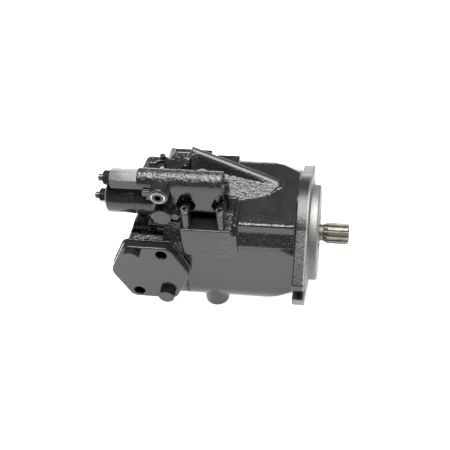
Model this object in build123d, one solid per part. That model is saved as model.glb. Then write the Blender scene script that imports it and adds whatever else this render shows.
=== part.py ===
from build123d import *
import math
import os

# Axial piston pump with a pressure and flow control valve. Millimetres.
# +X is the shaft's way out, +Z is up, -Y is the suction side. The origin is the middle of the pilot
# in the plane of the flange's mounting face.

# Mounting flange, two-bolt size B
pilot_r = 50.8
pilot_len = 9.5
flange_t = 12.5
flange_r = 61.0
ear_pitch_y = 73.0
ear_tip_y = 87.5
ear_half_z = 15.0
ear_slot_r = 7.15

# Splined shaft end: 13 teeth, 16/32 pitch, 22.2 mm outside diameter
spline_tip_r = 11.1
spline_root_r = 9.3
spline_teeth = 13
shaft_end_x = 41.0
spline_full_x = 18.0
neck_r = 8.7
journal_r = 12.5

# Housing
body_half = 60.0
body_corner_r = 30.0
joint_x = -125.0
gasket_t = 1.0
plate_face_x = joint_x - gasket_t
cavity_half = 52.0
cavity_corner_r = 22.0
cavity_front_x = -40.0
cavity_step_x = -100.0
cavity_back_r = 46.0
foot_z = -61.0
foot_r = 13.0
foot_x = -97.0
foot_y = 46.8
pad_front_y = -62.0
pad_top_z = 59.5

# Rotating group
pitch_r = 27.0
piston_count = 9
piston_r = 7.48
bore_r = 7.5
pivot_x = -61.0
sole_face_x = -54.0
slipper_sole_r = 8.8
barrel_r = 39.0
barrel_back_x = -121.98
barrel_front_x = -75.0
valve_plate_t = 4.0
ball_r = 5.0
oil_hole_r = 0.8
drive_teeth = 20
drive_tip_r = 13.3
drive_root_r = 12.2
running_gap = 0.03

# Swashplate and its cradle
cradle_r = 34.0
liner_t = 1.9
runner_in_y = 20.0
runner_out_y = 37.0

# Stroking and bias cylinders, in the port plate
stroke_y = 22.0
stroke_z = 47.0
stroke_sleeve_r = 11.0
stroke_piston_r = 8.5
bias_y = -22.0
bias_z = -46.0
bias_sleeve_r = 8.8
bias_piston_r = 6.8

# Port plate and its side ports
plate_back_x = -176.0
port_x = -160.0
port_z = 1.0
port_boss_y = -63.0
suction_r = 16.0
suction_dx = 30.2
suction_dz = 58.7
pressure_face_y = 63.0
pressure_r = 9.5
pressure_dx = 22.2
pressure_dz = 47.6
port_bolt_r = 5.0
cover_t = 9.0
cover_half_x = 42.0
cover_half_z = 39.0
cover_top_half_x = 23.5
plate_bolt_y = 43.0
plate_bolt_r = 5.0

# Control valve
valve_right_x = -82.0
valve_left_x = -132.0
valve_front_y = -48.0
valve_back_y = -24.0
upper_y = -36.5
upper_z = 101.0
upper_r = 11.5
lower_y = -33.0
lower_z = 72.5
lower_r = 16.5
spool_r = 5.97
spool_bore_r = 6.0
upper_left_x = -165.3
lower_left_x = -170.2
valve_seat_back_y = -13.5
lug_x = (-118.6, -83.7)
lug_front_y = -56.6
lug_back_y = -18.4
lug_r = 4.3
lug_top_z = 79.5
valve_screw_r = 2.5
port_x_x = -141.6
port_x_z = 101.0
cap_z = 73.3


def slab(x0, x1, y0, y1, z0, z1):
    return Pos((x0 + x1) / 2, (y0 + y1) / 2, (z0 + z1) / 2) * Box(x1 - x0, y1 - y0, z1 - z0)


def rod_x(r, x0, x1, y=0, z=0):
    return Pos((x0 + x1) / 2, y, z) * Rot(0, 90, 0) * Cylinder(r, x1 - x0)


def rod_y(r, y0, y1, x=0, z=0):
    return Pos(x, (y0 + y1) / 2, z) * Rot(90, 0, 0) * Cylinder(r, y1 - y0)


def rod_z(r, z0, z1, x=0, y=0):
    return Pos(x, y, (z0 + z1) / 2) * Cylinder(r, z1 - z0)


def tube_x(outer, inner, x0, x1, y=0, z=0):
    return rod_x(outer, x0, x1, y, z) - rod_x(inner, x0, x1, y, z)


def prism_x(points, x0, x1):
    """Extrudes a (y, z) outline along X."""
    return extrude(Plane.YZ.offset(x0) * make_face(Polyline(*points, close=True)), amount=x1 - x0)


def prism_y(points, y0, y1):
    """Extrudes an (x, z) outline along Y."""
    return extrude(Plane.XZ.offset(-y1) * make_face(Polyline(*points, close=True)), amount=y1 - y0)


def outline(points):
    return make_face(Polyline(*points, close=True))


def turned_face(face, y=0, z=0):
    return Pos(0, y, z) * revolve(face, axis=Axis.X)


def turned(points, y=0, z=0):
    """Turns an (x, r) outline about the X direction."""
    return turned_face(outline(points), y, z)


def hex_x(flats, x0, x1, y=0, z=0, turn=0):
    profile = Plane.YZ.offset(x0) * Rot(0, 0, turn) * RegularPolygon(flats / 2, 6, major_radius=False)
    return Pos(0, y, z) * extrude(profile, amount=x1 - x0)


def hex_y(flats, y0, y1, x=0, z=0, turn=0):
    profile = Plane.XZ.offset(-y1) * Rot(0, 0, turn) * RegularPolygon(flats / 2, 6, major_radius=False)
    return Pos(x, 0, z) * extrude(profile, amount=y1 - y0)


def hex_z(flats, z0, z1, x=0, y=0):
    return Pos(x, y, 0) * extrude(Plane.XY.offset(z0) * RegularPolygon(flats / 2, 6, major_radius=False), amount=z1 - z0)


def block_x(half, corner, x0, x1):
    """A square bar along X with rounded edges."""
    return extrude(Plane.YZ.offset(x0) * RectangleRounded(2 * half, 2 * half, corner), amount=x1 - x0)


def toothed(teeth, root, tip, x0, x1, space=0.0):
    """A bar along X with straight-flanked teeth, every surface grown by space."""
    pitch = 2 * math.pi / teeth
    points = []
    for n in range(teeth):
        middle = n * pitch
        for r, half in ((root, 0.36), (tip, 0.17), (tip, -0.17), (root, -0.36)):
            grown = half * pitch + math.copysign(space / r, half)
            points.append(((r + space) * math.cos(middle - grown), (r + space) * math.sin(middle - grown)))
    return prism_x(points, x0, x1)


def coil_x(radius, wire, turns, x0, x1, y=0, z=0):
    """A coil spring along X that fills x0 to x1."""
    height = x1 - x0 - 2 * wire
    path = Helix(height / turns, height, radius)
    section = Plane(origin=path @ 0, z_dir=path % 0) * Circle(wire)
    return Pos(x0 + wire, y, z) * Rot(0, 90, 0) * sweep(section, path=path, is_frenet=True)


def kidney(angle0, angle1, radius, half, x0, x1):
    """A curved slot about the X axis, with angles from +Y towards +Z."""
    ring = tube_x(radius + half, radius - half, x0, x1)
    far = 2 * radius
    steps = 8
    sweep_deg = angle1 - angle0
    wedge = [(0, 0)]
    for n in range(steps + 1):
        a = math.radians(angle0 + sweep_deg * n / steps)
        wedge.append((far * math.cos(a), far * math.sin(a)))
    slot = ring & prism_x(wedge, x0, x1)
    for a in (angle0, angle1):
        y = radius * math.cos(math.radians(a))
        z = radius * math.sin(math.radians(a))
        slot += rod_x(half, x0, x1, y, z)
    return slot


def flange():
    """Mounting flange with two open-ended bolt slots."""
    ear = []
    for side in (1, -1):
        reach = math.radians(48)
        outer = [(flange_r * math.cos(a), flange_r * math.sin(a)) for a in (reach, -reach)]
        ear.append(
            prism_x(
                [
                    (0, -flange_r * 0.7),
                    (side * outer[1][0], outer[1][1]),
                    (side * ear_tip_y, -ear_half_z),
                    (side * ear_tip_y, ear_half_z),
                    (side * outer[0][0], outer[0][1]),
                    (0, flange_r * 0.7),
                ],
                -flange_t,
                0,
            )
        )
    plate = rod_x(flange_r, -flange_t, 0) + ear[0] + ear[1]
    for side in (1, -1):
        mouth = sorted((side * ear_pitch_y, side * (ear_tip_y + 5)))
        plate -= rod_x(ear_slot_r, -flange_t - 30, 1, side * ear_pitch_y, 0)
        plate -= slab(-flange_t - 30, 1, mouth[0], mouth[1], -ear_slot_r, ear_slot_r)
    return plate


def control_pad():
    """Raised pad that carries the control valve, with a cast flank beside it."""
    pad = prism_y(
        [(joint_x, 21), (-74, 21), (-74, pad_top_z), (joint_x, pad_top_z)],
        pad_front_y,
        -8,
    )
    flank = prism_x([(-61.5, 24), (-61.5, 54), (-55, 62), (-20, 62), (-20, 24)], -74, -68.5)
    return pad + flank


def ruled_hull(x0, section0, x1, section1):
    """Straight-sided solid between two (y, z) outlines."""
    ends = [
        Plane.YZ.offset(x0) * make_face(Polyline(*section0, close=True)),
        Plane.YZ.offset(x1) * make_face(Polyline(*section1, close=True)),
    ]
    return loft(ends, ruled=True)


ridge_end_x = -31.5


def cylinder_ridge():
    """Ridge over the stroking cylinder, falling away towards the flange, with the slope in front of it."""
    ridge = ruled_hull(
        joint_x,
        [(15, 58), (17.5, 69), (24.5, 83.2), (26.5, 85.6), (31, 86.2), (34, 84), (50, 58)],
        ridge_end_x,
        [(1, 56.5), (1.5, 60.3), (5, 62.6), (6.8, 63.3), (11, 63.4), (13.5, 62), (17, 56.5)],
    )
    root = ruled_hull(
        joint_x,
        [(4, 58), (13, 72), (19, 79), (25, 84.5), (28, 58)],
        -106,
        [(18, 60), (20, 69), (21.5, 74), (23, 78), (25, 60)],
    )
    plan = [
        (joint_x, -33.5), (-68.5, -17), (-59, -14.2), (-49.5, -11.4), (-44, -8.4), (-40.3, -5.2), (-35, 0.8),
        (-32.4, 5.5), (-33, 9), (-60, 15), (joint_x, 34),
    ]
    slope = extrude(Plane.XY.offset(50) * outline(plan), amount=30)
    tilt = Plane(origin=(-68.5, -17, 60), x_dir=(0.9596, 0.2828, 0), z_dir=(0.0555, -0.1882, 0.9806))
    slope -= tilt * Pos(0, 0, 30) * Box(300, 300, 60)
    far_boss = slab(-121.5, -107, 33, 46, 50, 69)
    return ridge + root + slope + far_boss


def step_front_edge(body, x0, x1):
    """The front top edge is a straight ledge above a sloping cast channel."""
    body -= prism_x([(-70, 37), (-60, 37), (-51.5, 50), (-51.5, 70), (-70, 70)], x0 - 1, x1 + 1)
    return body + prism_x([(-20, 60), (-49.5, 60), (-51.5, 58.5), (-51.5, 50), (-60, 37), (-20, 37)], x0, x1)


def housing_outside():
    body = block_x(body_half, body_corner_r, joint_x, -flange_t)
    limit = turned(
        [(joint_x, 0), (joint_x, 73.5), (-50, 73.5), (-30, 70.5), (-flange_t, 65.5), (-flange_t, 0)]
    )
    body = body & limit
    body = step_front_edge(body, joint_x, -flange_t)
    body += control_pad()
    body += cylinder_ridge()
    body += slab(-102, -78, 34, 47, 50, 62)
    for side in (1, -1):
        body += rod_z(foot_r, foot_z, -30, foot_x, side * foot_y)
    # pockets behind the ears leave room for the bolt heads
    for side in (1, -1):
        near, far = sorted((side * 60.5, side * 95))
        body -= slab(-34, -flange_t, near, far, -20, 20)
    body += flange()
    body += turned([(0, 0), (0, pilot_r), (pilot_len - 1, pilot_r), (pilot_len, pilot_r - 1), (pilot_len, 0)])
    return body


def housing():
    body = housing_outside()
    # machined seat for the control valve
    body -= slab(joint_x - 1, -73, -70, valve_seat_back_y, pad_top_z, 95)
    cavity = block_x(cavity_half, cavity_corner_r, cavity_step_x, cavity_front_x)
    cavity += rod_x(cavity_back_r, joint_x - 1, cavity_step_x)
    cavity += rod_x(stroke_sleeve_r + 1.5, joint_x - 1, cavity_step_x, stroke_y, stroke_z)
    cavity += rod_x(stroke_piston_r + 0.8, joint_x, -86, stroke_y, stroke_z)
    cavity += rod_x(bias_sleeve_r + 1.2, joint_x - 1, cavity_step_x, bias_y, bias_z)
    cavity += rod_x(bias_piston_r + 0.8, joint_x, -90, bias_y, bias_z)
    # cradle seat for the swashplate
    cavity += rod_y(cradle_r + liner_t + 0.1, -runner_out_y - 3, runner_out_y + 3, pivot_x, 0)
    body -= cavity
    # bearing seat, web and seal bore
    body -= rod_x(26.0, -30, -5.5)
    body -= rod_x(15.0, -6, 3)
    body -= rod_x(20.0, 0, pilot_len + 1)
    body -= turned([(6.2, 0), (6.2, 21.2), (7.8, 21.2), (7.8, 0)])
    for y in (-plate_bolt_y, plate_bolt_y):
        for z in (-plate_bolt_y, plate_bolt_y):
            body -= rod_x(plate_bolt_r, joint_x - 1, joint_x + 22, y, z)
    # case drains through the two feet
    for side in (1, -1):
        body -= rod_z(8.0, foot_z - 1, foot_z + 12, foot_x, side * foot_y)
        body -= rod_z(4.0, foot_z, -34, foot_x, side * (foot_y - 3))
    # valve screws and control passages in the pad
    for x in lug_x:
        for y in (lug_front_y, lug_back_y):
            body -= rod_z(valve_screw_r, pad_top_z - 12, pad_top_z + 1, x, y)
    return body


def port_plate_gasket():
    sheet = step_front_edge(block_x(body_half, body_corner_r, plate_face_x, joint_x), plate_face_x, joint_x)
    sheet -= rod_x(cavity_back_r, plate_face_x, joint_x)
    sheet -= rod_x(stroke_sleeve_r + 1.5, plate_face_x, joint_x, stroke_y, stroke_z)
    sheet -= rod_x(bias_sleeve_r + 1.2, plate_face_x, joint_x, bias_y, bias_z)
    for y in (-plate_bolt_y, plate_bolt_y):
        for z in (-plate_bolt_y, plate_bolt_y):
            sheet -= rod_x(plate_bolt_r + 0.3, plate_face_x, joint_x, y, z)
    return sheet


port_tip_r = 16.0
port_corner_r = 9.0


def port_section(half_x, half_z, top_half):
    """The long hexagon with rounded corners that the side ports and the cover share, in (x, z)."""
    points = [
        (port_x - half_x, port_z),
        (port_x - top_half, port_z + half_z),
        (port_x + top_half, port_z + half_z),
        (port_x + half_x, port_z),
        (port_x + top_half, port_z - half_z),
        (port_x - top_half, port_z - half_z),
    ]
    face = outline(points)
    tips = face.vertices().filter_by_position(Axis.Y, port_z - 1, port_z + 1)
    face = fillet(tips, port_tip_r)
    corners = face.vertices().filter_by_position(Axis.Y, port_z + half_z - 6, port_z + half_z + 1)
    corners += face.vertices().filter_by_position(Axis.Y, port_z - half_z - 1, port_z - half_z + 6)
    return fillet(corners, port_corner_r)


def port_outline(half_x, half_z, top_half, y0, y1):
    return extrude(Plane.XZ.offset(-y1) * port_section(half_x, half_z, top_half), amount=y1 - y0)


boss_neck_y = 60.6


def port_plate_outside():
    plate = step_front_edge(block_x(body_half, body_corner_r, -144, plate_face_x), -144, plate_face_x)
    core = prism_y(
        [(-143, -60), (-168, -60), (plate_back_x, -50), (plate_back_x, 8), (-166, 44), (-158, 54), (-143, 54)],
        -50,
        50,
    )
    # the block's lower corners are as round as the housing's
    plate += core & block_x(body_half, body_corner_r, plate_back_x - 4, plate_face_x)
    for side, reach in ((-1, port_boss_y), (1, pressure_face_y)):
        wide = port_section(cover_half_x + 1, cover_half_z + 1, cover_top_half_x + 1)
        neck = port_section(cover_half_x - 7.5, cover_half_z - 3, cover_top_half_x - 2)
        root = port_section(25, 46, 17)
        neck_y = side * boss_neck_y
        plate += extrude(Plane.XZ.offset(-neck_y) * wide, amount=neck_y - reach)
        plate += loft([Plane.XZ.offset(-neck_y) * neck, Plane.XZ.offset(-side * 22) * root], ruled=True)
    # hump over the stroking cylinder and the stop-screw block behind it
    hump = prism_x(
        [(4, 40), (6, 61), (12, 70), (18, 77), (25, 83), (30, 83), (38, 77), (47, 67), (56, 40)], -153, plate_face_x
    )
    round_end = prism_y(
        [(plate_face_x, 30), (plate_face_x, 90), (-140, 90), (-143, 80.5), (-148, 76.5), (-151.5, 72), (-153, 60), (-153, 30)],
        0,
        60,
    )
    plate += hump & round_end
    plate += prism_x([(8, 40), (12, 64), (19, 72), (27, 72.5), (33, 67), (42, 57), (47, 40)], -171, -149)
    # arched lug on the near side of the hump
    plate += rod_y(4.2, 9, 22, -130.6, 75) + slab(-134.8, -126.4, 9, 22, 58, 75)
    return plate


def port_plate():
    plate = port_plate_outside()
    plate -= rod_x(18.5, -142, plate_face_x + 1)
    plate -= rod_x(12.0, -148, -141)
    # suction side
    plate -= rod_y(suction_r, port_boss_y - 1, -22, port_x, port_z)
    plate -= kidney(122, 238, pitch_r, 3.5, -158, plate_face_x + 1)
    # pressure side
    plate -= rod_y(pressure_r, 22, pressure_face_y + 1, port_x, port_z)
    plate -= kidney(-58, 58, pitch_r, 3.0, -158, plate_face_x + 1)
    for dx in (-0.5, 0.5):
        for dz in (-0.5, 0.5):
            plate -= rod_y(
                port_bolt_r, port_boss_y - 1, port_boss_y + 22, port_x + dx * suction_dx, port_z + dz * suction_dz
            )
            plate -= rod_y(
                port_bolt_r,
                pressure_face_y - 20,
                pressure_face_y + 1,
                port_x + dx * pressure_dx,
                port_z + dz * pressure_dz,
            )
    for y in (-plate_bolt_y, plate_bolt_y):
        for z in (-plate_bolt_y, plate_bolt_y):
            plate -= rod_x(plate_bolt_r + 0.5, -148, plate_face_x + 1, y, z)
            plate -= rod_x(9.5, -190, -141, y, z)
    plate -= rod_x(stroke_sleeve_r, -150, plate_face_x + 1, stroke_y, stroke_z)
    plate -= rod_x(4.0, -173, -149, stroke_y, stroke_z)
    plate -= rod_x(9.5, -200, -171.05, stroke_y, stroke_z)
    plate -= rod_x(bias_sleeve_r, -150, plate_face_x + 1, bias_y, bias_z)
    plate -= rod_z(3.0, 60, 76, -156.8, 27.5)
    plate -= rod_z(4.5, 60, 76, -156, 15.5)
    plate -= rod_z(7.6, 67, 80, -156, 15.5) & slab(-170, -153.2, 0, 24, 60, 90)
    plate -= rod_z(4.0, 70, 80, -156.8, 27.5) & slab(-170, -153.2, 0, 40, 60, 90)
    plate -= rod_x(2.0, plate_face_x - 4, plate_face_x + 1, 0, 34)
    return plate


def port_plate_bolts():
    bolts = []
    for y in (-plate_bolt_y, plate_bolt_y):
        for z in (-plate_bolt_y, plate_bolt_y):
            bolt = rod_x(8.0, -151, -141, y, z) + rod_x(plate_bolt_r - 0.02, -141, joint_x + 18, y, z)
            bolts.append(bolt - hex_x(8, -152, -146, y, z))
    return Compound(bolts)


def port_cover():
    cover = port_outline(
        cover_half_x, cover_half_z, cover_top_half_x, port_boss_y - cover_t, port_boss_y
    )
    front = cover.faces().sort_by(Axis.Y)[0]
    cover = chamfer(front.edges(), 0.8)
    for dx in (-0.5, 0.5):
        for dz in (-0.5, 0.5):
            cover -= rod_y(
                6.0,
                port_boss_y - cover_t - 1,
                port_boss_y + 1,
                port_x + dx * suction_dx,
                port_z + dz * suction_dz,
            )
    return cover


def hex_bolt_y(face_y, x, z, head, flats, thread_r, length):
    """A hex bolt whose head stands on face_y and whose shank runs to +Y."""
    top = hex_y(flats, face_y - head, face_y, x, z, 12)
    cone = Pos(x, face_y - head / 2, z) * Rot(90, 0, 0) * Cone(flats * 0.56 + head, flats * 0.5, head)
    return (top & cone) + rod_y(thread_r, face_y, face_y + length, x, z)


def port_cover_bolts():
    face = port_boss_y - cover_t
    bolts = []
    for dx, dz in ((-0.5, 0.5), (0.5, -0.5)):
        bolts.append(
            hex_bolt_y(face, port_x + dx * suction_dx, port_z + dz * suction_dz, 6.8, 16, port_bolt_r - 0.02, 25)
        )
    return Compound(bolts)


def drive_shaft():
    shaft = turned(
        [
            (-146, 0),
            (-146, 9.2),
            (-145.2, 10),
            (-127.5, 10),
            (-127.5, 12),
            (-120, 12),
            (-30, 12),
            (-30, journal_r + 2.5),
            (-22.6, journal_r + 2.5),
            (-22.6, journal_r),
            (8.5, journal_r),
            (9.5, journal_r - 1.2),
            (9.5, neck_r),
            (14.5, neck_r),
            (spline_full_x, spline_root_r),
            (shaft_end_x - 1.5, spline_root_r),
            (shaft_end_x, spline_root_r - 1.2),
            (shaft_end_x, 0),
        ]
    )
    teeth = toothed(spline_teeth, spline_root_r, spline_tip_r, 13, shaft_end_x)
    envelope = turned(
        [
            (13, 0),
            (13, neck_r - 0.4),
            (spline_full_x + 1, spline_tip_r + 0.2),
            (shaft_end_x - 1.8, spline_tip_r + 0.2),
            (shaft_end_x, spline_root_r - 0.2),
            (shaft_end_x, 0),
        ]
    )
    shaft += teeth & envelope
    shaft += toothed(drive_teeth, drive_root_r, drive_tip_r, -119, -104)
    # a centre drilling in the end
    shaft -= turned([(shaft_end_x - 7, 0), (shaft_end_x - 5, 2.2), (shaft_end_x + 0.1, 3.4), (shaft_end_x + 0.1, 0)])
    return shaft


def bearing(inner, outer, width, tilt, roller_r, count, wide_x, way):
    """A tapered roller bearing: cup, cone, rollers and cage. way is +1 if it narrows towards +X."""
    mid_r = (inner + outer) / 2 + 0.4
    apex = wide_x + way * (mid_r / math.tan(math.radians(tilt)) + width / 2)
    reach = (mid_r / math.tan(math.radians(tilt))) / math.cos(math.radians(tilt))
    half = math.degrees(math.asin(roller_r / reach))
    out_slope = math.tan(math.radians(tilt + half))
    in_slope = math.tan(math.radians(tilt - half))
    x_wide = wide_x
    x_thin = wide_x + way * width

    def r_out(x):
        return abs(apex - x) * out_slope

    def r_in(x):
        return abs(apex - x) * in_slope

    cup = turned([(x_wide, outer), (x_wide, r_out(x_wide)), (x_thin, r_out(x_thin)), (x_thin, outer)])
    cone = turned([(x_wide, inner), (x_wide, r_in(x_wide)), (x_thin, r_in(x_thin)), (x_thin, inner)])
    axis = Vector(-way * math.cos(math.radians(tilt)), math.sin(math.radians(tilt)), 0)
    near = reach - width * 0.36
    far = reach + width * 0.36
    trim = math.tan(math.radians(half)) * 0.992
    middle = Vector(apex, 0, 0) + axis * ((near + far) / 2)
    one = Plane(origin=middle, z_dir=axis) * Cone(near * trim, far * trim, far - near)
    rollers = [Rot(360 * n / count, 0, 0) * one for n in range(count)]
    fat = Plane(origin=middle, z_dir=axis) * Cone(near * trim + 0.2, far * trim + 0.2, far - near + 0.6)
    x_a = apex - way * (near - 1.6) * math.cos(math.radians(tilt))
    x_b = apex - way * (far + 1.2) * math.cos(math.radians(tilt))
    sheet_out = math.tan(math.radians(tilt + half * 0.42))
    sheet_in = math.tan(math.radians(tilt + half * 0.12))
    cage = turned(
        [
            (x_a, abs(apex - x_a) * sheet_in),
            (x_a, abs(apex - x_a) * sheet_out),
            (x_b, abs(apex - x_b) * sheet_out),
            (x_b, abs(apex - x_b) * sheet_in),
        ]
    )
    for n in range(count):
        cage -= Rot(360 * n / count, 0, 0) * fat
    return cup, cone, Compound(rollers), cage


def shaft_seal():
    shell = turned(
        [
            (-1, 13.6),
            (-1, 20.0),
            (6, 20.0),
            (6, 18.6),
            (0.6, 18.6),
            (0.6, 15.6),
            (4.6, 13.9),
            (4.6, 12.52),
            (2.6, 12.52),
            (0.6, 13.4),
        ]
    )
    return shell & rod_x(20.0, 0.05, 6)


def seal_retaining_ring():
    ring = turned([(6.3, 17.6), (6.3, 21.0), (7.6, 21.0), (7.6, 17.6)])
    return ring - slab(6, 8, -3, 3, -25, -10)


def cylinder_barrel():
    barrel = turned(
        [
            (barrel_back_x, 0),
            (barrel_back_x, 36),
            (barrel_back_x + 3, barrel_r),
            (barrel_front_x - 2, barrel_r),
            (barrel_front_x, barrel_r - 2),
            (barrel_front_x, 0),
        ]
    )
    barrel -= toothed(drive_teeth, drive_root_r, drive_tip_r, barrel_back_x - 1, -103, running_gap)
    barrel -= rod_x(18.0, -103.5, barrel_front_x + 1)
    for y, z in piston_places():
        barrel -= rod_x(bore_r, -116, barrel_front_x + 1, y, z)
        barrel -= rod_x(3.2, barrel_back_x - 1, -115, y, z)
    return barrel


def piston_places():
    return [
        (pitch_r * math.cos(2 * math.pi * n / piston_count), pitch_r * math.sin(2 * math.pi * n / piston_count))
        for n in range(piston_count)
    ]


def pistons():
    """Hollow pistons with ball ends, drilled through to feed the slippers."""
    skirt = outline(
        [
            (-108, 4.5),
            (-108, piston_r - 0.6),
            (-107.4, piston_r),
            (-70, piston_r),
            (-69, 6.4),
            (-69, 3.4),
            (pivot_x, 3.4),
            (pivot_x, oil_hole_r),
            (-76, oil_hole_r),
            (-76, 4.5),
        ]
    )
    ball = Pos(pivot_x, 0) * Circle(ball_r)
    ball &= outline([(pivot_x - 6, oil_hole_r), (pivot_x - 6, 6), (pivot_x + 6, 6), (pivot_x + 6, oil_hole_r)])
    return Compound([turned_face(skirt + ball, y, z) for y, z in piston_places()])


def slippers():
    """Slippers with a ball socket and a shallow oil pocket in the sole."""
    face = outline(
        [
            (-63.4, oil_hole_r),
            (-63.4, 6.6),
            (-57, 6.6),
            (-57, slipper_sole_r),
            (sole_face_x - 0.02, slipper_sole_r),
            (sole_face_x - 0.02, 5.0),
            (sole_face_x - 0.7, 5.0),
            (sole_face_x - 0.7, oil_hole_r),
        ]
    )
    face -= Pos(pivot_x, 0) * Circle(ball_r + running_gap)
    return Compound([turned_face(face, y, z) for y, z in piston_places()])


def retainer_plate():
    """Disc that holds the slippers down, on a seat bevelled to the ball."""
    plate = turned([(-60.0, 17.1), (-60.0, 37.0), (-57.03, 37.0), (-57.03, 16.7)])
    for y, z in piston_places():
        plate -= rod_x(7.2, -61, -56, y, z)
    return plate


def retaining_ball():
    """Ball on the shaft that the retainer plate swivels on."""
    ball = Pos(pivot_x, 0) * Circle(17.0)
    ball &= outline([(-68, 12.1), (-68, 20), (-56, 20), (-56, 12.1)])
    return turned_face(ball + outline([(-80, 12.1), (-80, 17.4), (-67, 17.4), (-67, 12.1)]))


def valve_plate():
    plate = tube_x(37.0, 19.0, plate_face_x, plate_face_x + valve_plate_t)
    plate -= kidney(122, 238, pitch_r, 3.2, plate_face_x - 1, plate_face_x + valve_plate_t + 1)
    for start in (-58, -15, 28):
        plate -= kidney(start, start + 30, pitch_r, 2.8, plate_face_x - 1, plate_face_x + valve_plate_t + 1)
    return plate - rod_x(2.05, plate_face_x - 1, plate_face_x + 3, 0, 34)


def valve_plate_pin():
    return rod_x(2.0, plate_face_x - 3.9, plate_face_x + 2.8, 0, 34)


def swashplate():
    plate = rod_y(cradle_r, -runner_out_y - 1, runner_out_y + 1, pivot_x, 0)
    plate = plate & slab(sole_face_x, 0, -50, 50, -50, 50)
    plate += rod_x(40.0, sole_face_x, -46) & slab(-60, 0, -40, 40, -40, 40)
    plate -= slab(-42, 0, -runner_in_y + 1, runner_in_y - 1, -50, 50)
    plate -= rod_x(17.5, -60, -20)
    plate += slab(sole_face_x, -45, stroke_y - 7, stroke_y + 7, 20, 51)
    plate += slab(sole_face_x, -45, bias_y - 7, bias_y + 7, -50, -20)
    return plate


def cradle_bearing(side):
    ring = rod_y(cradle_r + liner_t, runner_in_y, runner_out_y, pivot_x, 0)
    ring -= rod_y(cradle_r + 0.03, runner_in_y - 1, runner_out_y + 1, pivot_x, 0)
    ring = ring & slab(-41, 0, 0, 50, -40, 40)
    return ring if side > 0 else mirror(ring, about=Plane.XZ)


def stroking_sleeve():
    return tube_x(stroke_sleeve_r, stroke_piston_r + running_gap, -149.9, -101, stroke_y, stroke_z)


def stroking_piston():
    return turned(
        [
            (-128, 0),
            (-128, stroke_piston_r - 0.6),
            (-127.4, stroke_piston_r),
            (-92, stroke_piston_r),
            (-90, 5),
            (-88, 3.6),
            (-57, 3.6),
            (sole_face_x - 0.01, 1.6),
            (sole_face_x - 0.01, 0),
        ],
        stroke_y,
        stroke_z,
    )


def bias_sleeve():
    tube = tube_x(bias_sleeve_r, bias_piston_r + running_gap, -149.9, -101, bias_y, bias_z)
    return tube


def bias_piston():
    body = turned(
        [
            (-120, 0),
            (-120, bias_piston_r),
            (-96, bias_piston_r),
            (-94, 3.6),
            (-57, 3.6),
            (sole_face_x - 0.01, 1.6),
            (sole_face_x - 0.01, 0),
        ],
        bias_y,
        bias_z,
    )
    return body - rod_x(4.0, -121, -104, bias_y, bias_z)


def stop_screw():
    screw = rod_x(3.97, -186, -149.2, stroke_y, stroke_z)
    return screw - hex_x(4, -187, -182, stroke_y, stroke_z)


def hex_nut_x(flats, bore, x0, x1, y, z):
    blank = hex_x(flats, x0, x1, y, z)
    slope = (x1 - x0) * 0.18
    trim = turned(
        [
            (x0, 0),
            (x0, flats * 0.5),
            (x0 + slope, flats * 0.585),
            (x1 - slope, flats * 0.585),
            (x1, flats * 0.5),
            (x1, 0),
        ],
        y,
        z,
    )
    return (blank & trim) - rod_x(bore, x0 - 1, x1 + 1, y, z)


def top_plugs():
    """Air-bleed screw and gauge plug on top of the port plate."""
    bleed = hex_z(5.5, 70, 75.5, -156.8, 27.5) + rod_z(2.98, 62, 70, -156.8, 27.5)
    dome = (Pos(-156, 15.5, 62.5) * Sphere(9.5)) & rod_z(7.0, 67, 73, -156, 15.5)
    dome = dome & slab(-170, -153.25, 0, 30, 60, 80)
    gauge = dome + (rod_z(4.48, 61.5, 67.1, -156, 15.5) & slab(-170, -151.5, 0, 30, 60, 80))
    return Compound([bleed, gauge])


def drain_plugs():
    plugs = []
    for side in (1, -1):
        plug = rod_z(7.98, foot_z + 1, foot_z + 11, foot_x, side * foot_y)
        plugs.append(plug - hex_z(8, foot_z, foot_z + 6, foot_x, side * foot_y))
    return Compound(plugs)


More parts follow.
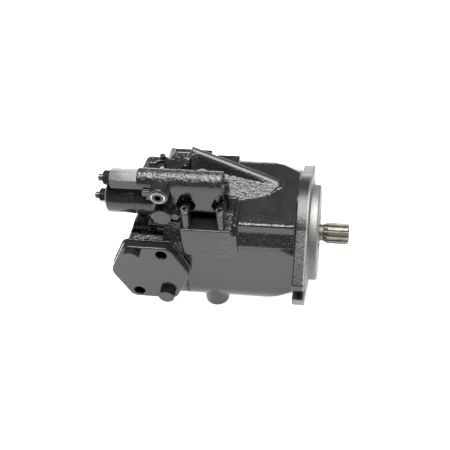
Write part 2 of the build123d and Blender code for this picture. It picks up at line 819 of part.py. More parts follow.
def control_valve_body():
    body = slab(valve_left_x, valve_right_x, valve_front_y, valve_back_y, pad_top_z, upper_z)
    body += slab(-158, valve_left_x + 1, -46, -26, 79, upper_z)
    body += rod_x(upper_r, upper_left_x, valve_right_x, upper_y, upper_z)
    body += rod_x(lower_r, lower_left_x, -150, lower_y, lower_z)
    body += slab(-151, -124, -49.3, -20, 62.5, 86)
    body += prism_y([(-160, 92), (-151, 92), (-140, 84), (-140, 99), (-160, 99)], -51.5, -44)
    body += rod_y(9.6, -60, upper_y, port_x_x, port_x_z)
    body += rod_y(9.2, -58, lower_y, port_x_x, cap_z)
    body += rod_y(4.2, -56.5, -46, -129, 71)
    # the front is cut back above the pad, between the screw lugs
    body -= slab(lug_x[0] + 4, lug_x[1] - 4, -49, -40, pad_top_z - 1, 71.5)
    for x in lug_x:
        for y, inner in ((lug_front_y, valve_front_y + 7), (lug_back_y, valve_back_y - 5)):
            low, high = sorted((y, inner))
            body -= prism_y(screw_pocket(x), *sorted((inner, 3 * y - 2 * inner)))
            body += rod_z(lug_r, pad_top_z, lug_top_z, x, y)
            body += slab(x - lug_r, x + lug_r, low, high, pad_top_z, lug_top_z)
            body -= rod_z(valve_screw_r + 0.25, pad_top_z - 1, lug_top_z + 1, x, y)
    # the overhang clears the top of the port plate
    body -= slab(valve_left_x - 1, joint_x + 0.5, -60, -10, pad_top_z - 1, 62.5)
    # spool bores with the threaded mouths of the bonnets and the end plug
    body -= rod_x(spool_bore_r, upper_left_x - 1, -89, upper_y, upper_z)
    body -= rod_x(7.5, upper_left_x - 1, upper_left_x + 8, upper_y, upper_z)
    body -= rod_x(7.0, -91, valve_right_x + 1, upper_y, upper_z)
    body -= rod_x(spool_bore_r, lower_left_x - 1, -128, lower_y, lower_z)
    body -= rod_x(7.5, lower_left_x - 1, lower_left_x + 8, lower_y, lower_z)
    body -= rod_y(6.5, -61, -50, port_x_x, port_x_z)
    body -= rod_y(2.0, -51, lower_y, port_x_x, port_x_z)
    body -= rod_y(5.0, -59, -52, port_x_x, cap_z)
    return body


def screw_pocket(x):
    """Bell-shaped (x, z) outline that lets a driver down onto a valve screw."""
    right = [(4.4, 70), (9.2, 79), (9.4, 81), (8, 84.5), (5.6, 90), (3, 94), (0, 95.3)]
    left = [(-across, z) for across, z in reversed(right[:-1])]
    return [(x + across, z) for across, z in right + left]


def valve_screws():
    made = []
    for x in lug_x:
        for y in (lug_front_y, lug_back_y):
            screw = rod_z(4.0, lug_top_z, lug_top_z + 4.5, x, y)
            screw += rod_z(valve_screw_r - 0.02, pad_top_z - 10, lug_top_z, x, y)
            made.append(screw - hex_z(4, lug_top_z + 2, lug_top_z + 5, x, y))
    return Compound(made)


def spool(x0, x1, y, z):
    """A three-land valve spool."""
    third = (x1 - x0) / 3
    outline = [(x0, 0)]
    for n in range(3):
        land0 = x0 + n * third + (1.5 if n else 0)
        land1 = x0 + (n + 1) * third - (5 if n < 2 else 0)
        outline += [(land0, spool_r), (land1, spool_r)]
        if n < 2:
            outline += [(land1, 3.6), (x0 + (n + 1) * third + 1.5, 3.6)]
    outline.append((x1, 0))
    return turned(outline, y, z)


def spring_seat(face_x, way, y, z):
    """A guide disc whose stub points along way into the spring."""
    disc = sorted((face_x, face_x + way * 2))
    stub = sorted((face_x, face_x + way * 5))
    return rod_x(5.6, disc[0], disc[1], y, z) + rod_x(3.0, stub[0], stub[1], y, z)


def hex_bonnet():
    shell = hex_x(18, -193, upper_left_x, upper_y, upper_z, 30)
    shell = shell & turned(
        [(-193, 0), (-193, 9.4), (-192.2, 10.6), (upper_left_x, 10.6), (upper_left_x, 0)], upper_y, upper_z
    )
    shell += rod_x(7.48, upper_left_x, upper_left_x + 7.5, upper_y, upper_z)
    shell -= rod_x(6.0, -188, upper_left_x + 8, upper_y, upper_z)
    return shell - rod_x(3.72, -194, -187, upper_y, upper_z)


def round_bonnet():
    shell = turned(
        [(-201.2, 0), (-201.2, 14.5), (-199.2, lower_r), (lower_left_x, lower_r), (lower_left_x, 0)], lower_y, lower_z
    )
    shell += rod_x(7.48, lower_left_x, lower_left_x + 7.5, lower_y, lower_z)
    shell -= rod_x(6.0, -195, lower_left_x + 8, lower_y, lower_z)
    return shell - rod_x(3.72, -202, -194, lower_y, lower_z)


def adjusting_screw(x0, x1, y, z):
    screw = turned([(x0, 0), (x0, 3.0), (x0 + 0.7, 3.7), (x1 - 0.7, 3.7), (x1, 3.0), (x1, 0)], y, z)
    return screw - hex_x(3, x0 - 1, x0 + 3.5, y, z)


def port_x_plug():
    head = rod_y(7.4, -61.5, -60, port_x_x, port_x_z)
    head = chamfer(head.edges().sort_by(Axis.Y)[0], 0.9)
    plug = head + rod_y(6.45, -60, -51, port_x_x, port_x_z)
    return plug - hex_y(6, -62, -56, port_x_x, port_x_z, 10)


def cap_plug():
    head = rod_y(9.6, -60.6, -58, port_x_x, cap_z)
    head = chamfer(head.edges().sort_by(Axis.Y)[0], 0.6)
    return head + rod_y(4.95, -58, -52.5, port_x_x, cap_z)


def valve_end_plug():
    plug = rod_x(6.97, -90.5, valve_right_x - 0.8, upper_y, upper_z)
    return plug - hex_x(6, valve_right_x - 4, valve_right_x, upper_y, upper_z)


os.makedirs("parts", exist_ok=True)
front_cup, front_cone, front_rollers, front_cage = bearing(12.5, 26.0, 16.0, 14, 3.7, 15, -22.5, 1)
rear_cup, rear_cone, rear_rollers, rear_cage = bearing(10.0, 18.5, 12.0, 11, 2.3, 17, -129.0, -1)

nodes = {
    "housing": housing(),
    "port_plate": port_plate(),
    "port_plate_gasket": port_plate_gasket(),
    "port_plate_bolts": port_plate_bolts(),
    "port_cover": port_cover(),
    "port_cover_bolts": port_cover_bolts(),
    "drive_shaft": drive_shaft(),
    "front_bearing_cup": front_cup,
    "front_bearing_cone": front_cone,
    "front_bearing_rollers": front_rollers,
    "front_bearing_cage": front_cage,
    "rear_bearing_cup": rear_cup,
    "rear_bearing_cone": rear_cone,
    "rear_bearing_rollers": rear_rollers,
    "rear_bearing_cage": rear_cage,
    "shaft_seal": shaft_seal(),
    "seal_retaining_ring": seal_retaining_ring(),
    "cylinder_barrel": cylinder_barrel(),
    "pistons": pistons(),
    "slippers": slippers(),
    "retainer_plate": retainer_plate(),
    "retaining_ball": retaining_ball(),
    "barrel_spring": coil_x(15.2, 1.15, 4.5, -103.4, -80.1),
    "valve_plate": valve_plate(),
    "valve_plate_pin": valve_plate_pin(),
    "swashplate": swashplate(),
    "cradle_bearing_near": cradle_bearing(-1),
    "cradle_bearing_far": cradle_bearing(1),
    "stroking_sleeve": stroking_sleeve(),
    "stroking_piston": stroking_piston(),
    "stop_screw": stop_screw(),
    "stop_screw_nut": hex_nut_x(13, 4.02, -177.5, -171.1, stroke_y, stroke_z),
    "bias_sleeve": bias_sleeve(),
    "bias_piston": bias_piston(),
    "bias_spring": coil_x(5.4, 0.9, 6.0, -149.9, -120.1, bias_y, bias_z),
    "top_plugs": top_plugs(),
    "drain_plugs": drain_plugs(),
    "control_valve_body": control_valve_body(),
    "valve_screws": valve_screws(),
    "pressure_spool": spool(-157, -90.52, upper_y, upper_z),
    "flow_spool": spool(-160, -128.02, lower_y, lower_z),
    "pressure_spool_seat": spring_seat(-157.02, -1, upper_y, upper_z),
    "flow_spool_seat": spring_seat(-160.02, -1, lower_y, lower_z),
    "pressure_spring": coil_x(4.5, 0.7, 6.0, -181.9, -159.1, upper_y, upper_z),
    "flow_spring": coil_x(4.5, 0.8, 6.5, -189.9, -162.1, lower_y, lower_z),
    "pressure_screw_seat": spring_seat(-184.0, 1, upper_y, upper_z),
    "flow_screw_seat": spring_seat(-192.0, 1, lower_y, lower_z),
    "pressure_bonnet": hex_bonnet(),
    "flow_bonnet": round_bonnet(),
    "pressure_lock_nut": hex_nut_x(13, 3.75, -200.3, -193.02, upper_y, upper_z),
    "flow_lock_nut": hex_nut_x(13, 3.75, -209.5, -201.22, lower_y, lower_z),
    "pressure_adjusting_screw": adjusting_screw(-205.6, -184.02, upper_y, upper_z),
    "flow_adjusting_screw": adjusting_screw(-214.8, -192.02, lower_y, lower_z),
    "port_x_plug": port_x_plug(),
    "cap_plug": cap_plug(),
    "valve_end_plug": valve_end_plug(),
}
for node, shape in nodes.items():
    export_step(shape, f"parts/{node}.step")
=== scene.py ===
import math

import bmesh
import bpy
import numpy as np
from mathutils import Matrix, Vector, noise


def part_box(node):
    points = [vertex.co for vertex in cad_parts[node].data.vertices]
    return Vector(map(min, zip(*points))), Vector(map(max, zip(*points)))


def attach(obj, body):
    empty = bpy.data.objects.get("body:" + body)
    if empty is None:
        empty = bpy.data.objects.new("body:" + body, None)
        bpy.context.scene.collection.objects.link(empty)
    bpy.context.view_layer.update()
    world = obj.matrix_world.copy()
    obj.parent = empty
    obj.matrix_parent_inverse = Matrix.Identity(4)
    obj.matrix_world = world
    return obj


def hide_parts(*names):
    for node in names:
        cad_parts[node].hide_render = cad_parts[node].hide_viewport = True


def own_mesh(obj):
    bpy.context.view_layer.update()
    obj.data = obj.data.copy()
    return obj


# The frame's units are metres. +X is the way out of the shaft and +Z is up.
FLOOR_Z = -0.0612
SENSOR_MM = 36
LENS_MM = 67.09
CAMERA_SPOT = (0.03643, -0.60771, 0.65941)
CAMERA_TURN, CAMERA_DIP, CAMERA_ROLL = 0.20773, 0.81308, -0.09452

camera = bpy.data.objects.new("camera", bpy.data.cameras.new("camera"))
bpy.context.scene.collection.objects.link(camera)
bpy.context.scene.camera = camera
camera.data.sensor_width = SENSOR_MM
camera.data.lens = LENS_MM
camera.data.clip_start = 0.05
camera.data.clip_end = 60
turn = (
    Matrix.Rotation(CAMERA_TURN, 3, "Z")
    @ Matrix.Rotation(math.pi / 2 - CAMERA_DIP, 3, "X")
    @ Matrix.Rotation(CAMERA_ROLL, 3, "Z")
)
camera.rotation_mode = "QUATERNION"
camera.rotation_quaternion = turn.to_quaternion()
camera.location = CAMERA_SPOT

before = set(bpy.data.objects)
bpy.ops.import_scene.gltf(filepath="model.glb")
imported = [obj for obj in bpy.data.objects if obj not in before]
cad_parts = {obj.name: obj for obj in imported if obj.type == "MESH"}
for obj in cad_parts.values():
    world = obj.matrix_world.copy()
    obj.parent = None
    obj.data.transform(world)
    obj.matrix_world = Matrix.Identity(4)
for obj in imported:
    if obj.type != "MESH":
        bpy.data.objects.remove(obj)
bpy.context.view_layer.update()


# ---------------------------------------------------------------- materials
PAINT_IOR = 1.55


def new_material(name):
    material = bpy.data.materials.new(name)
    material.use_nodes = True
    tree = material.node_tree
    tree.nodes.clear()
    out = tree.nodes.new("ShaderNodeOutputMaterial")
    shader = tree.nodes.new("ShaderNodeBsdfPrincipled")
    tree.links.new(shader.outputs[0], out.inputs[0])
    return material, tree, shader


def position(tree):
    """Rest position of the surface in metres, the same in every pose."""
    return tree.nodes.new("ShaderNodeTexCoord").outputs["Object"]


def noise_node(tree, scale, detail=3.0, roughness=0.55, stretch=None):
    node = tree.nodes.new("ShaderNodeTexNoise")
    node.inputs["Scale"].default_value = scale
    node.inputs["Detail"].default_value = detail
    node.inputs["Roughness"].default_value = roughness
    source = position(tree)
    if stretch:
        mapping = tree.nodes.new("ShaderNodeMapping")
        mapping.inputs["Scale"].default_value = stretch
        tree.links.new(source, mapping.inputs["Vector"])
        source = mapping.outputs[0]
    tree.links.new(source, node.inputs["Vector"])
    return node.outputs["Fac"]


def remap(tree, value, low, high, to_low=0.0, to_high=1.0):
    node = tree.nodes.new("ShaderNodeMapRange")
    node.inputs["From Min"].default_value = low
    node.inputs["From Max"].default_value = high
    node.inputs["To Min"].default_value = to_low
    node.inputs["To Max"].default_value = to_high
    tree.links.new(value, node.inputs["Value"])
    return node.outputs[0]


def bump(tree, shader, heights):
    """Chains bumps of (height, distance, strength) onto the shader."""
    last = None
    for height, distance, strength in heights:
        node = tree.nodes.new("ShaderNodeBump")
        node.inputs["Distance"].default_value = distance
        if isinstance(strength, float):
            node.inputs["Strength"].default_value = strength
        else:
            tree.links.new(strength, node.inputs["Strength"])
        tree.links.new(height, node.inputs["Height"])
        if last:
            tree.links.new(last, node.inputs["Normal"])
        last = node.outputs[0]
    tree.links.new(last, shader.inputs["Normal"])


def shade(tree, kind, *inputs, **settings):
    """A shader node with its settings made and its inputs linked or set in order."""
    node = tree.nodes.new(kind)
    for key, value in settings.items():
        setattr(node, key, value)
    for socket, value in zip(node.inputs, inputs):
        if isinstance(value, bpy.types.NodeSocket):
            tree.links.new(value, socket)
        else:
            socket.default_value = value
    return node


def math_node(tree, operation, a, b=0.0):
    return shade(tree, "ShaderNodeMath", a, b, operation=operation).outputs[0]


def product(tree, a, b):
    return math_node(tree, "MULTIPLY", a, b)


def total(tree, a, b):
    return math_node(tree, "ADD", a, b)


def hypotenuse(tree, a, b):
    return math_node(tree, "SQRT", total(tree, product(tree, a, a), product(tree, b, b)))


def mix_color(tree, share, low, high):
    node = tree.nodes.new("ShaderNodeMixRGB")
    for socket, value in zip(node.inputs, (share, low, high)):
        if isinstance(value, bpy.types.NodeSocket):
            tree.links.new(value, socket)
        else:
            socket.default_value = (*value, 1) if isinstance(value, tuple) else value
    return node.outputs[0]


def attribute(tree, name):
    return shade(tree, "ShaderNodeAttribute", attribute_name=name).outputs["Fac"]


def radius_about_x(tree):
    """Distance from the shaft's axis."""
    split = shade(tree, "ShaderNodeSeparateXYZ", position(tree))
    return hypotenuse(tree, split.outputs[1], split.outputs[2])


def casting_paint():
    """Gloss black enamel over a sand casting.

    The mesh's attributes say how rough and how soft each place is, and where the metal is bare.
    """
    material, tree, shader = new_material("casting_paint")
    rough = attribute(tree, "rough")
    bare = attribute(tree, "bare")
    grain = noise_node(tree, 760, 3, 0.6)
    pits = noise_node(tree, 400, 2, 0.55)
    orange_peel = noise_node(tree, 1500, 2, 0.5)
    swell = noise_node(tree, 60, 2, 0.5)
    dust = remap(tree, noise_node(tree, 35, 5, 0.65), 0.35, 0.75)
    paint = mix_color(tree, dust, (0.0125, 0.0130, 0.0142), (0.0190, 0.0193, 0.0202))
    worn = remap(tree, noise_node(tree, 90, 5, 0.7), 0.3, 0.75)
    steel = mix_color(tree, worn, (0.20, 0.195, 0.187), (0.29, 0.284, 0.275))
    tree.links.new(mix_color(tree, bare, paint, steel), shader.inputs["Base Color"])
    tree.links.new(bare, shader.inputs["Metallic"])
    paint_gloss = remap(tree, rough, 0, 1, 0.13, 0.10)
    gloss = total(tree, paint_gloss, remap(tree, dust, 0, 1, -0.02, 0.05))
    gloss = total(tree, gloss, product(tree, attribute(tree, "soft"), 0.20))
    gloss = total(tree, gloss, remap(tree, bare, 0, 1, 0.0, 0.26))
    tree.links.new(gloss, shader.inputs["Roughness"])
    shader.inputs["IOR"].default_value = PAINT_IOR
    turning = shade(tree, "ShaderNodeTexNoise", noise_dimensions="1D")
    tree.links.new(radius_about_x(tree), turning.inputs["W"])
    turning.inputs["Scale"].default_value = 2600
    bump(
        tree,
        shader,
        [
            (swell, 0.0006, 0.08),
            (pits, 0.0011, rough),
            (grain, 0.0003, rough),
            (orange_peel, 0.00008, 0.22),
            (turning.outputs["Fac"], 0.00006, product(tree, bare, 0.35)),
        ],
    )
    return material


def enamel(name, tone=0.015, gloss=0.11, wear=0.5):
    """Gloss black enamel over machined steel, thin at the edges."""
    material, tree, shader = new_material(name)
    edge = shade(tree, "ShaderNodeNewGeometry").outputs["Pointiness"]
    patch = noise_node(tree, 420, 5, 0.7)
    chance = product(tree, remap(tree, edge, 0.53, 0.60), remap(tree, patch, 0.48, 0.62))
    bare = product(tree, chance, wear)
    drift = remap(tree, noise_node(tree, 70, 4, 0.6), 0.3, 0.7)
    paint = mix_color(tree, drift, (tone * 0.85,) * 3, (tone * 1.25,) * 3)
    tree.links.new(mix_color(tree, bare, paint, (0.42, 0.41, 0.40)), shader.inputs["Base Color"])
    tree.links.new(bare, shader.inputs["Metallic"])
    tree.links.new(remap(tree, drift, 0, 1, gloss - 0.02, gloss + 0.06), shader.inputs["Roughness"])
    shader.inputs["IOR"].default_value = PAINT_IOR
    swell = noise_node(tree, 120, 2)
    orange_peel = noise_node(tree, 600, 2)
    bump(tree, shader, [(swell, 0.0003, 0.08), (orange_peel, 0.00008, 0.12)])
    return material


def metal(name, dark, light, gloss, marks="lathe", depth=0.00005, scale=2400):
    """Bare metal with turning, milling or drawn marks and an oily film of uneven thickness."""
    material, tree, shader = new_material(name)
    film = remap(tree, noise_node(tree, 110, 5, 0.65), 0.3, 0.72)
    tree.links.new(mix_color(tree, film, dark, light), shader.inputs["Base Color"])
    shader.inputs["Metallic"].default_value = 1.0
    tree.links.new(remap(tree, film, 0, 1, gloss + 0.10, gloss - 0.04), shader.inputs["Roughness"])
    if marks == "lathe":
        line = shade(tree, "ShaderNodeTexNoise", noise_dimensions="2D")
        along = shade(tree, "ShaderNodeSeparateXYZ", position(tree)).outputs[0]
        joined = shade(tree, "ShaderNodeCombineXYZ", along, radius_about_x(tree)).outputs[0]
        tree.links.new(joined, line.inputs["Vector"])
        line.inputs["Scale"].default_value = scale
        height = line.outputs["Fac"]
    else:
        height = noise_node(tree, scale, 3, 0.6, stretch=(0.06, 1.0, 1.0))
    bump(tree, shader, [(height, depth, 0.5), (noise_node(tree, 900, 4, 0.6), depth, 0.35)])
    return material


def dull(name, dark, light, gloss, scale=700, depth=0.0001):
    """Rubber, fibre sheet and liner."""
    material, tree, shader = new_material(name)
    speck = remap(tree, noise_node(tree, scale, 4, 0.6), 0.3, 0.7)
    tree.links.new(mix_color(tree, speck, dark, light), shader.inputs["Base Color"])
    tree.links.new(remap(tree, speck, 0, 1, gloss + 0.05, gloss - 0.05), shader.inputs["Roughness"])
    bump(tree, shader, [(noise_node(tree, scale, 4, 0.6), depth, 0.5)])
    return material


MATERIALS = {
    "casting": casting_paint(),
    "enamel": enamel("enamel"),
    "spline": metal(
        "spline_steel", (0.16, 0.147, 0.130), (0.27, 0.250, 0.225), 0.50, marks="drawn"
    ),
    "bearing": metal("bearing_steel", (0.50, 0.50, 0.51), (0.66, 0.66, 0.67), 0.16),
    "cage": metal("cage_steel", (0.28, 0.28, 0.29), (0.42, 0.42, 0.43), 0.38, marks="drawn"),
    "ground": metal("ground_steel", (0.40, 0.40, 0.41), (0.56, 0.56, 0.57), 0.24),
    "spring": metal("spring_steel", (0.16, 0.16, 0.18), (0.30, 0.30, 0.32), 0.36, marks="drawn"),
    "bronze": metal("bronze", (0.42, 0.27, 0.12), (0.62, 0.43, 0.23), 0.28),
    "liner": dull("liner", (0.20, 0.21, 0.20), (0.34, 0.35, 0.34), 0.6),
    "gasket": dull("gasket", (0.05, 0.055, 0.05), (0.10, 0.11, 0.10), 0.7),
    "rubber": dull("seal_rubber", (0.022, 0.018, 0.018), (0.05, 0.035, 0.033), 0.5),
}


# ---------------------------------------------------------------- machined pieces
RING_INNER_RADIUS = 0.0056
RING_OUTER_RADIUS = 0.0074
RING_FADE = 0.0003
WELD_DISTANCE = 1e-6
BEVEL_SEGMENTS = 2
BEVEL_ANGLE = math.radians(28)


def ring_plug(node, inner, outer):
    """Enamel with the chamfered ring of the plug's head left bare."""
    lows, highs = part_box(node)
    material, tree, shader = new_material("ringed_plug")
    split = shade(tree, "ShaderNodeSeparateXYZ", position(tree))
    across = math_node(tree, "SUBTRACT", split.outputs[0], (lows[0] + highs[0]) / 2)
    up = math_node(tree, "SUBTRACT", split.outputs[2], (lows[2] + highs[2]) / 2)
    radius = hypotenuse(tree, across, up)
    past_inner = remap(tree, radius, inner, inner + RING_FADE)
    short_of_outer = remap(tree, radius, outer, outer - RING_FADE)
    patch = remap(tree, noise_node(tree, 500, 4, 0.6), 0.25, 0.5)
    bare = product(tree, product(tree, past_inner, short_of_outer), patch)
    color = mix_color(tree, bare, (0.012, 0.012, 0.013), (0.45, 0.44, 0.43))
    tree.links.new(color, shader.inputs["Base Color"])
    tree.links.new(bare, shader.inputs["Metallic"])
    tree.links.new(remap(tree, bare, 0, 1, 0.12, 0.30), shader.inputs["Roughness"])
    bump(tree, shader, [(noise_node(tree, 1200, 3), 0.0001, 0.3)])
    return material


LOOKS = {
    "enamel": """port_cover_bolts port_plate_bolts top_plugs drain_plugs pressure_bonnet flow_bonnet
        pressure_lock_nut flow_lock_nut pressure_adjusting_screw flow_adjusting_screw cap_plug
        stop_screw stop_screw_nut valve_end_plug valve_screws""",
    "ringed_plug": "port_x_plug",
    "spline": "drive_shaft",
    "bearing": """front_bearing_cup front_bearing_cone front_bearing_rollers rear_bearing_cup
        rear_bearing_cone rear_bearing_rollers""",
    "cage": "front_bearing_cage rear_bearing_cage seal_retaining_ring",
    "ground": """pistons swashplate valve_plate_pin stroking_sleeve stroking_piston bias_sleeve
        bias_piston pressure_spool flow_spool pressure_spool_seat flow_spool_seat
        pressure_screw_seat flow_screw_seat retainer_plate retaining_ball cylinder_barrel""",
    "spring": "barrel_spring bias_spring pressure_spring flow_spring",
    "bronze": "valve_plate slippers",
    "liner": "cradle_bearing_near cradle_bearing_far",
    "gasket": "port_plate_gasket",
    "rubber": "shaft_seal",
}
BEVELLED = {
    "pressure_bonnet": 0.0006,
    "flow_bonnet": 0.0006,
    "pressure_lock_nut": 0.0004,
    "flow_lock_nut": 0.0004,
    "port_cover_bolts": 0.0004,
    "port_plate_bolts": 0.0004,
    "top_plugs": 0.0003,
    "cap_plug": 0.0003,
    "port_x_plug": 0.0002,
    "stop_screw_nut": 0.0004,
    "drain_plugs": 0.0003,
}


def dress(name, look):
    """Gives a node its material, and a rolled edge where the real piece has one."""
    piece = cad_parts[name]
    piece.data.materials.clear()
    piece.data.materials.append(MATERIALS[look])
    if name in BEVELLED:
        weld = piece.modifiers.new("weld", "WELD")
        weld.merge_threshold = WELD_DISTANCE
        rounding = piece.modifiers.new("edge", "BEVEL")
        rounding.width = BEVELLED[name]
        rounding.segments = BEVEL_SEGMENTS
        rounding.limit_method = "ANGLE"
        rounding.angle_limit = BEVEL_ANGLE
        rounding.use_clamp_overlap = True
        rounding.harden_normals = False


MATERIALS["ringed_plug"] = ring_plug("port_x_plug", RING_INNER_RADIUS, RING_OUTER_RADIUS)
for look, names in LOOKS.items():
    for name in names.split():
        dress(name, look)


# ---------------------------------------------------------------- castings
MACHINED_X = -0.0008
FLANGE_BACK_X = -0.0128
FLANGE_FADE = 0.001
PILOT_RING_RADIUS = 0.052
BARE_FACE_X = -0.0016
BARE_RING_X = -0.004
BARE_TIP_X = -0.0118
# The rail runs from the valve end to the flange end along the stroking cylinder's ridge.
RAIL_START = (-0.125, 0.0285)
RAIL_END_Y = 0.0088
RAIL_LENGTH = 0.0935
RAIL_HALF_WIDTH = 0.0042
RAIL_SOFT_HALF_WIDTH = 0.0055
RAIL_SMOOTH_HALF_WIDTH = 0.0075
RAIL_PASSES = 45
# Lumps per metre, and their height.
LUMPS = ((180.0, 0.00022), (400.0, 0.00020))
LEAST = 0.02


def evaluated(piece):
    depsgraph = bpy.context.evaluated_depsgraph_get()
    depsgraph.update()
    return bpy.data.meshes.new_from_object(piece.evaluated_get(depsgraph))


def skin(name, voxel, passes):
    """The casting's shape with its edges rounded, as a foundry pattern leaves them."""
    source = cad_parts[name]
    piece = bpy.data.objects.new(name + "_casting", source.data.copy())
    bpy.context.scene.collection.objects.link(piece)
    remesh = piece.modifiers.new("skin", "REMESH")
    remesh.mode = "VOXEL"
    remesh.voxel_size = voxel
    remesh.adaptivity = 0
    snap = piece.modifiers.new("snap", "SHRINKWRAP")
    snap.target = source
    relax = piece.modifiers.new("relax", "SMOOTH")
    relax.factor = 0.5
    relax.iterations = passes
    mesh = evaluated(piece)
    piece.modifiers.clear()
    piece.data = mesh
    if name == "housing":
        soften_rail(piece)
    return piece


def soften_rail(piece):
    """Smooths the rail and fades out beside it."""
    points, _ = vertex_arrays(piece.data)
    near = rail_zone(points, RAIL_SMOOTH_HALF_WIDTH)
    group = piece.vertex_groups.new(name="rail")
    for index in np.nonzero(near > LEAST)[0]:
        group.add([int(index)], float(near[index]), "REPLACE")
    relax = piece.modifiers.new("rail", "SMOOTH")
    relax.factor = 0.5
    relax.iterations = RAIL_PASSES
    relax.vertex_group = "rail"
    mesh = evaluated(piece)
    piece.modifiers.clear()
    piece.vertex_groups.clear()
    piece.data = mesh


def vertex_arrays(mesh):
    """Points and normals, a row for each vertex."""
    count = len(mesh.vertices)
    points = np.empty(count * 3)
    normals = np.empty(count * 3)
    mesh.vertices.foreach_get("co", points)
    mesh.vertices.foreach_get("normal", normals)
    return points.reshape(-1, 3), normals.reshape(-1, 3)


def ramp(values, low, high):
    """Nought up to low, one from high, and straight between them."""
    return np.clip((values - low) / (high - low), 0, 1)


def lumps(points, strength):
    """Height of the sand casting's grain at each point, in metres."""
    heights = np.zeros(len(points))
    for index in np.nonzero(strength > LEAST)[0]:
        x, y, z = points[index]
        lump = 0.0
        for scale, height in LUMPS:
            lump += height * noise.noise(Vector((x * scale, y * scale + 7, z * scale)))
        heights[index] = lump * strength[index]
    return heights


def rail_line(x):
    """Middle of the rail along the top of the stroking cylinder's ridge, in y."""
    start_x, start_y = RAIL_START
    return start_y + (x - start_x) * (RAIL_END_Y - start_y) / RAIL_LENGTH


def rail_zone(points, half_width):
    """One on the rail, falling to nought past half_width either side of its middle."""
    x, y, z = points.T
    across = ramp(half_width - np.abs(y - rail_line(x)), 0.0, 0.0012)
    return across * ramp(z, 0.0590, 0.0605) * ramp(-x, 0.025, 0.029) * ramp(x, -0.1240, -0.1220)


def flange_zone(points):
    """One on the flange, and nought behind it."""
    return ramp(points[:, 0], FLANGE_BACK_X - FLANGE_FADE, FLANGE_BACK_X)


def housing_zones(points, normals):
    """Roughness and bare metal over the housing, from nought to one at each vertex."""
    x, y, z = points.T
    rough = np.full(len(points), 0.10)
    top = ramp(z, 0.040, 0.052) * ramp(-x, 0.012, 0.016)
    rough = np.maximum(rough, 0.24 * top)
    high = ramp(z, 0.0590, 0.0600)
    near_side, upward = -normals[:, 1], normals[:, 2]
    slope = high * ramp(near_side, 0.10, 0.15) * ramp(upward, 0.85, 0.93)
    rough = np.maximum(rough, slope)
    band = high * ramp(near_side, 0.40, 0.5) * ramp(-x, 0.028, 0.032) * ramp(x, -0.126, -0.120)
    rough = np.maximum(rough, 0.75 * band)
    rough = rough * (1 - 0.85 * rail_zone(points, RAIL_HALF_WIDTH))
    hump = ramp(-x, 0.112, 0.116) * ramp(z, 0.060, 0.064)
    rough = np.maximum(rough, 0.5 * hump)
    flank = ramp(x, -0.0860, -0.0840) * ramp(-x, 0.0705, 0.0725)
    flank = flank * ramp(-y, 0.030, 0.034) * ramp(z, 0.020, 0.026)
    rough = np.maximum(rough, flank)
    recess = ramp(x, -0.079, -0.076) * ramp(-y, 0.046, 0.048)
    recess = recess * ramp(z, 0.028, 0.032) * ramp(0.0515 - z, 0, 0.001)
    rough = np.maximum(rough, 0.8 * recess)
    rough = np.where(flange_zone(points) > 0.5, 0.22, rough)
    rough[x > MACHINED_X - 0.0005] = 0.05
    pilot_ring = (np.hypot(y, z) < PILOT_RING_RADIUS) & (x > BARE_RING_X)
    far_tip = (y > 0.0835) & (x > BARE_TIP_X)
    near_prong = (y < -0.079) & (z < -0.0072) & (x > BARE_TIP_X)
    bare = np.where(pilot_ring | (x > BARE_FACE_X) | far_tip | near_prong, 1.0, 0.0)
    return rough, bare


def plate_zones(points, _):
    _, y, z = points.T
    rough = 0.25 + 0.65 * ramp(y, -0.070, -0.064)
    rough = rough * (1 - 0.5 * ramp(z, 0.060, 0.064))
    rough = np.where(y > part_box("port_plate")[1][1] - 0.0012, 0.05, rough)
    return rough, np.zeros(len(points))


def valve_zones(points, _):
    _, y, z = points.T
    crown = ramp(z, 0.1055, 0.1075) * ramp(y, -0.050, -0.046)
    foot = ramp(0.074 - z, 0, 0.003)
    rough = 0.12 + np.maximum(0.75 * crown, 0.4 * foot)
    return rough, np.zeros(len(points))


def cover_zones(points, _):
    return np.full(len(points), 0.15), np.zeros(len(points))


# Voxel size, smoothing passes, and what gives the roughness and the bare metal.
CASTINGS = {
    "housing": (0.0009, 3, housing_zones),
    "port_plate": (0.0009, 3, plate_zones),
    "control_valve_body": (0.0006, 3, valve_zones),
    "port_cover": (0.0006, 3, cover_zones),
}


def cast(name):
    """Puts a rounded, grainy casting in the place of a CAD node, within the node's box."""
    voxel, passes, zones = CASTINGS[name]
    piece = skin(name, voxel, passes)
    mesh = piece.data
    points, normals = vertex_arrays(mesh)
    rough, bare = zones(points, normals)
    points = points + normals * lumps(points, rough)[:, None]
    lows, highs = (np.array(v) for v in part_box(name))
    points = np.clip(points, lows, highs)
    mesh.vertices.foreach_set("co", points.ravel())
    soft = np.zeros(len(points))
    if name == "housing":
        soft = np.maximum(rail_zone(points, RAIL_SOFT_HALF_WIDTH), flange_zone(points))
    for label, values in (("rough", rough), ("bare", bare), ("soft", soft)):
        layer = mesh.attributes.new(label, "FLOAT", "POINT")
        layer.data.foreach_set("value", values.astype(np.float32))
    mesh.polygons.foreach_set("use_smooth", [True] * len(mesh.polygons))
    mesh.materials.clear()
    mesh.materials.append(MATERIALS["casting"])
    mesh.update()
    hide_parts(name)
    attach(piece, "pump_case")


for name in CASTINGS:
    cast(name)


def spool_spring(side):
    """A copy of the spring between a spool's seat and its screw's seat, hung on the pump case in
    place of the node.
    """
    node = side + "_spring"
    piece = bpy.data.objects.new(side + "_spring_coil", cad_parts[node].data.copy())
    bpy.context.scene.collection.objects.link(piece)
    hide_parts(node)
    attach(piece, "pump_case")
    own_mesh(piece)


for side in ("pressure", "flow"):
    spool_spring(side)


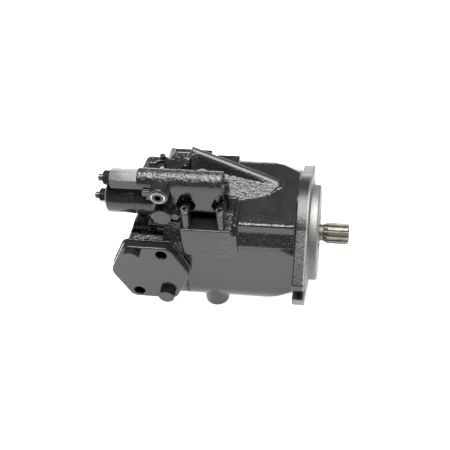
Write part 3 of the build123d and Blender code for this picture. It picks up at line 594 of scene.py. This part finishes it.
# ---------------------------------------------------------------- floor and light
FLOOR_HALF_WIDTH = 40.0
FLOOR_CELLS = 24
FLOOR_GLOW = 1.10
CENTRE = (-0.085, 0.0, 0.03)
LIGHT_SPOT = (-0.085, 0.075, 1.33)
LIGHT_WIDTH = 1.30
LIGHT_DEPTH = 1.24
LIGHT_RADIANCE = 12.5
WORLD_GREY = (0.10, 0.10, 0.105, 1)


def floor():
    """A white floor that glows a little, so that it comes out white beyond the light too."""
    grid = bmesh.new()
    bmesh.ops.create_grid(
        grid, x_segments=FLOOR_CELLS, y_segments=FLOOR_CELLS, size=FLOOR_HALF_WIDTH
    )
    mesh = bpy.data.meshes.new("floor")
    grid.to_mesh(mesh)
    grid.free()
    plane = bpy.data.objects.new("floor", mesh)
    bpy.context.scene.collection.objects.link(plane)
    plane.location = (-0.08, 0.5, FLOOR_Z)
    material, _, shader = new_material("floor_white")
    shader.inputs["Base Color"].default_value = (0.50, 0.50, 0.50, 1)
    shader.inputs["Roughness"].default_value = 0.9
    shader.inputs["Specular IOR Level"].default_value = 0.1
    shader.inputs["Emission Color"].default_value = (1, 1, 1, 1)
    shader.inputs["Emission Strength"].default_value = FLOOR_GLOW
    mesh.materials.append(material)


def area(name, spot, target, width, depth, radiance):
    """An elliptical area light of a given radiance, turned to face the target."""
    light = bpy.data.lights.new(name, "AREA")
    light.shape = "ELLIPSE"
    light.size = width
    light.size_y = depth
    light.energy = radiance * math.pi * width * depth * (math.pi / 4)
    lamp = bpy.data.objects.new(name, light)
    bpy.context.scene.collection.objects.link(lamp)
    lamp.location = spot
    lamp.rotation_mode = "QUATERNION"
    lamp.rotation_quaternion = (Vector(target) - Vector(spot)).to_track_quat("-Z", "Y")


floor()
area("overhead", LIGHT_SPOT, CENTRE, LIGHT_WIDTH, LIGHT_DEPTH, LIGHT_RADIANCE)
world = bpy.data.worlds.new("studio")
bpy.context.scene.world = world
world.use_nodes = True
background = world.node_tree.nodes["Background"]
background.inputs["Color"].default_value = WORLD_GREY
background.inputs["Strength"].default_value = 1.0
bpy.context.scene.view_settings.view_transform = "Standard"
